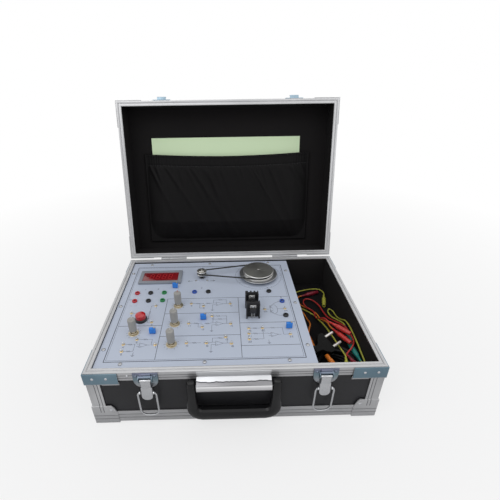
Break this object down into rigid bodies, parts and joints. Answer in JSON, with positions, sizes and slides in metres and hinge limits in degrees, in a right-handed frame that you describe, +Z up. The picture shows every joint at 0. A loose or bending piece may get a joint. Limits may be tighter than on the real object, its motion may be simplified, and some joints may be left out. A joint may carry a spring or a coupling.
{
  "type": "dc motor control trainer",
  "caption": "Open carrying case with a motor control panel, belt-driven angle disc, meter, knobs, sockets and a storage compartment of patch leads.",
  "frame": {"origin": "middle of the outer box of the open case, on the surface the feet stand on", "axes": "+X to the user's right along the case's front, +Y from the latches to the hinges, +Z up"},
  "size_m": [0.4128, 0.441, 0.4016],
  "materials": {
    "laminate": "dark laminate on plywood",
    "lining": "dark lining on plywood",
    "aluminium": "satin extruded aluminium",
    "steel": "zinc-plated steel",
    "bright_steel": "bright nickel plate",
    "rubber": "matt black rubber",
    "black_plastic": "black moulded plastic",
    "grey_plastic": "grey moulded plastic",
    "red_plastic": "red moulded plastic",
    "red_window": "dark red display window",
    "meter_grey": "grey meter bezel",
    "panel": "pale blue-grey printed panel",
    "board": "green circuit board with soldered parts",
    "dark_metal": "dark metal",
    "black_metal": "black anodised aluminium",
    "brass": "brass",
    "satin": "black satin cloth",
    "green_card": "pale green card",
    "black_cord": "black flexible cord",
    "yellow_lead": "yellow flexible lead",
    "red_lead": "red flexible lead",
    "dark_red_lead": "dark red flexible lead",
    "teal_lead": "teal flexible lead",
    "orange_lead": "orange flexible lead"
  },
  "bodies": {
    "case": {"base_shell": "laminate", "base_rim_rails": "aluminium", "base_edge_rails": "aluminium", "front_left_foot": "rubber", "front_right_foot": "rubber", "rear_left_foot": "rubber", "rear_right_foot": "rubber", "handle_bracket": "bright_steel", "left_latch_plate": "bright_steel", "right_latch_plate": "bright_steel", "left_hinge_base_leaf": "steel", "right_hinge_base_leaf": "steel", "inner_frame": "lining", "control_panel": "panel", "circuit_board": "board", "transformer": "dark_metal", "dc_motor": "steel", "angle_sensor": "dark_metal", "meter_housing": "meter_grey", "meter_window": "red_window", "button_collar": "black_plastic", "front_heat_sink": "black_metal", "rear_heat_sink": "black_metal", "front_power_transistor": "steel", "rear_power_transistor": "steel", "drive_belt": "rubber", "cord_gland": "black_plastic", "mains_cord": "black_cord", "mains_coil": "black_cord", "mains_plug": "black_plastic", "yellow_patch_lead": "yellow_lead", "red_patch_lead": "red_lead", "dark_red_patch_lead": "dark_red_lead", "teal_patch_lead": "teal_lead", "orange_patch_lead": "orange_lead"},
    "lid": {"lid_shell": "laminate", "lid_rim_rails": "aluminium", "lid_edge_rails": "aluminium", "left_hinge_lid_leaf": "steel", "right_hinge_lid_leaf": "steel", "left_latch_keeper": "bright_steel", "right_latch_keeper": "bright_steel", "lid_pocket": "satin"},
    "booklet": {"booklet": "green_card"},
    "handle": {"handle": "black_plastic"},
    "left_lever": {"left_latch_lever": "bright_steel"},
    "left_bail": {"left_latch_bail": "bright_steel"},
    "right_lever": {"right_latch_lever": "bright_steel"},
    "right_bail": {"right_latch_bail": "bright_steel"},
    "button": {"button_cap": "red_plastic"},
    "disc": {"angle_disc": "bright_steel"},
    "pulley": {"motor_pulley": "bright_steel"},
    "knob_1": {"knob_1": "grey_plastic"},
    "trimmer_1": {"trimmer_screw_1": "brass"},
    "knob_2": {"knob_2": "grey_plastic"},
    "trimmer_2": {"trimmer_screw_2": "brass"},
    "knob_3": {"knob_3": "grey_plastic"},
    "trimmer_3": {"trimmer_screw_3": "brass"},
    "knob_4": {"knob_4": "grey_plastic"},
    "trimmer_4": {"trimmer_screw_4": "brass"}
  },
  "joints": [
    {"name": "lid_hinge", "type": "hinge", "parent": "case", "child": "lid", "pos_m": [0, 0.09639, 0.10465], "axis": [1, 0, 0], "range_deg": [0, 103.8]},
    {"name": "booklet_slide", "type": "slide", "parent": "lid", "child": "booklet", "axis": [0, 0.2385, 0.9711], "range_m": [0, 0.05]},
    {"name": "handle_swing", "type": "hinge", "parent": "case", "child": "handle", "pos_m": [-0.003, -0.21291, 0.085], "axis": [-1, 0, 0], "range_deg": [0, 95]},
    {"name": "left_lever_pivot", "type": "hinge", "parent": "case", "child": "left_lever", "pos_m": [-0.122, -0.20831, 0.093], "axis": [-1, 0, 0], "range_deg": [0, 50]},
    {"name": "left_bail_pivot", "type": "hinge", "parent": "left_lever", "child": "left_bail", "pos_m": [-0.122, -0.21091, 0.072], "axis": [-1, 0, 0], "range_deg": [0, 135]},
    {"name": "right_lever_pivot", "type": "hinge", "parent": "case", "child": "right_lever", "pos_m": [0.122, -0.20831, 0.093], "axis": [-1, 0, 0], "range_deg": [0, 50]},
    {"name": "right_bail_pivot", "type": "hinge", "parent": "right_lever", "child": "right_bail", "pos_m": [0.122, -0.21091, 0.072], "axis": [-1, 0, 0], "range_deg": [0, 135]},
    {"name": "button_press", "type": "slide", "parent": "case", "child": "button", "axis": [0, 0, -1], "range_m": [0, 0.0025], "stiffness_N_per_m": 300},
    {"name": "knob_1_turn", "type": "hinge", "parent": "case", "child": "knob_1", "pos_m": [-0.0923, -0.05831, 0.1012], "axis": [0, 0, 1], "range_deg": [-150, 150]},
    {"name": "knob_2_turn", "type": "hinge", "parent": "case", "child": "knob_2", "pos_m": [-0.0933, -0.10481, 0.1012], "axis": [0, 0, 1], "range_deg": [-150, 150]},
    {"name": "knob_3_turn", "type": "hinge", "parent": "case", "child": "knob_3", "pos_m": [-0.0931, -0.14991, 0.1012], "axis": [0, 0, 1], "range_deg": [-150, 150]},
    {"name": "knob_4_turn", "type": "hinge", "parent": "case", "child": "knob_4", "pos_m": [-0.154, -0.12391, 0.1012], "axis": [0, 0, 1], "range_deg": [-150, 150]},
    {"name": "trimmer_1_turn", "type": "hinge", "parent": "case", "child": "trimmer_1", "pos_m": [-0.1006, -0.00441, 0.1112], "axis": [0, 0, 1], "continuous": true},
    {"name": "trimmer_2_turn", "type": "hinge", "parent": "case", "child": "trimmer_2", "pos_m": [-0.0454, -0.09461, 0.1112], "axis": [0, 0, 1], "continuous": true},
    {"name": "trimmer_3_turn", "type": "hinge", "parent": "case", "child": "trimmer_3", "pos_m": [-0.1217, -0.12471, 0.1112], "axis": [0, 0, 1], "continuous": true},
    {"name": "trimmer_4_turn", "type": "hinge", "parent": "case", "child": "trimmer_4", "pos_m": [0.0886, -0.11951, 0.1112], "axis": [0, 0, 1], "continuous": true},
    {"name": "disc_turn", "type": "hinge", "parent": "case", "child": "disc", "pos_m": [0.051, 0.02779, 0.1012], "axis": [0, 0, 1], "continuous": true},
    {"name": "pulley_turn", "type": "hinge", "parent": "case", "child": "pulley", "pos_m": [-0.0565, 0.02779, 0.1012], "axis": [0, 0, 1], "continuous": true}
  ],
  "couplings": [
    {"joint": "pulley_turn", "follows": "disc_turn", "ratio": 3.5867}
  ]
}
